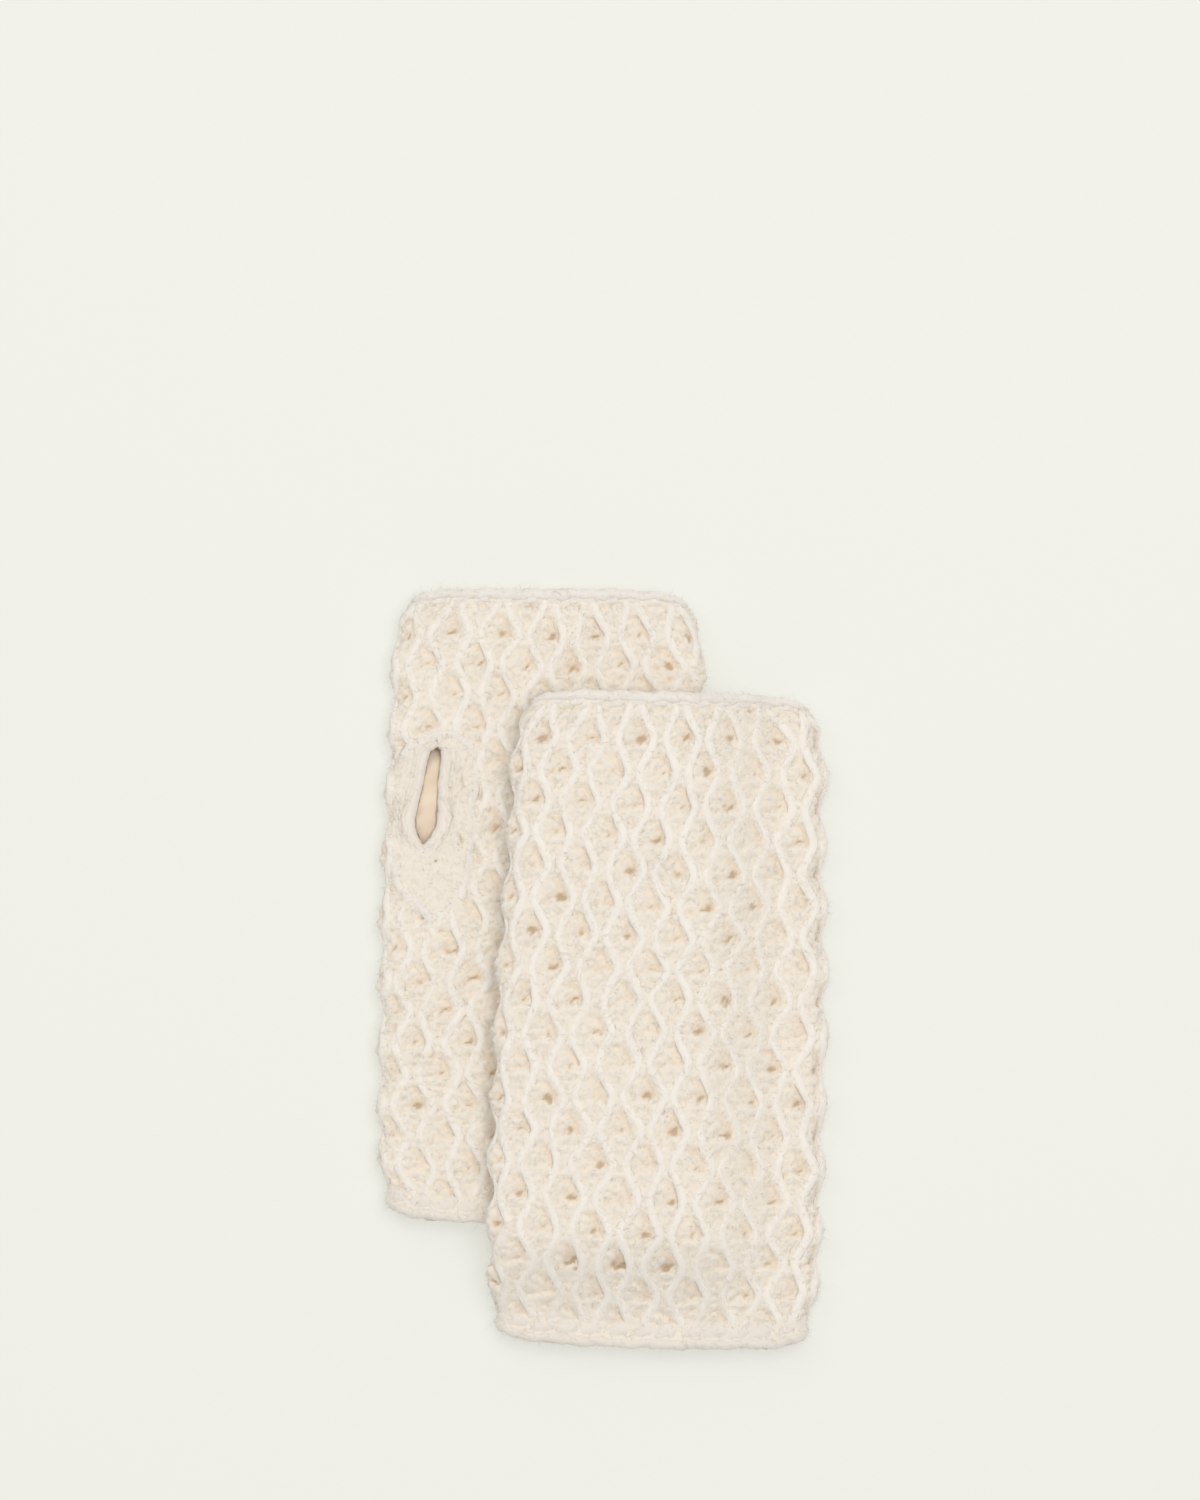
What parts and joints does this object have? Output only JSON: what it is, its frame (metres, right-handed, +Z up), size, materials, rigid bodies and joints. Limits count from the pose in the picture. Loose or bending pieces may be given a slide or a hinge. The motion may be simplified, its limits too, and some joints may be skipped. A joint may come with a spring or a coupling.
{
  "type": "fingerless gloves",
  "caption": "Pair of thick honeycomb-knit fingerless gloves: open tubes with a thumb slit, lying flat, one partly on the other.",
  "frame": {"origin": "on the table under the middle of the pair's bounding box", "axes": "+Z up off the table, +Y towards the finger ends, +X towards the side of the front glove"},
  "size_m": [0.1496, 0.2521, 0.0296],
  "materials": {
    "ivory_knit": "soft fuzzy thick wool yarn in a raised honeycomb stitch",
    "ivory_edging": "soft fuzzy thick wool yarn in a plain chain edge"
  },
  "bodies": {
    "rear_glove": {"rear_palm_panel": "ivory_knit", "rear_back_panel": "ivory_knit", "rear_thumb_fold": "ivory_knit", "rear_outer_fold": "ivory_knit", "rear_finger_edge": "ivory_edging", "rear_wrist_edge": "ivory_edging", "rear_thumb_slit_edging": "ivory_edging"},
    "front_glove": {"front_palm_panel": "ivory_knit", "front_back_panel": "ivory_knit", "front_thumb_fold": "ivory_knit", "front_outer_fold": "ivory_knit", "front_finger_edge": "ivory_edging", "front_wrist_edge": "ivory_edging", "front_thumb_slit_edging": "ivory_edging"}
  },
  "joints": [
    {"name": "front_glove_lift", "type": "slide", "parent": "rear_glove", "child": "front_glove", "axis": [0, 0, 1], "range_m": [0, 0.06]}
  ]
}
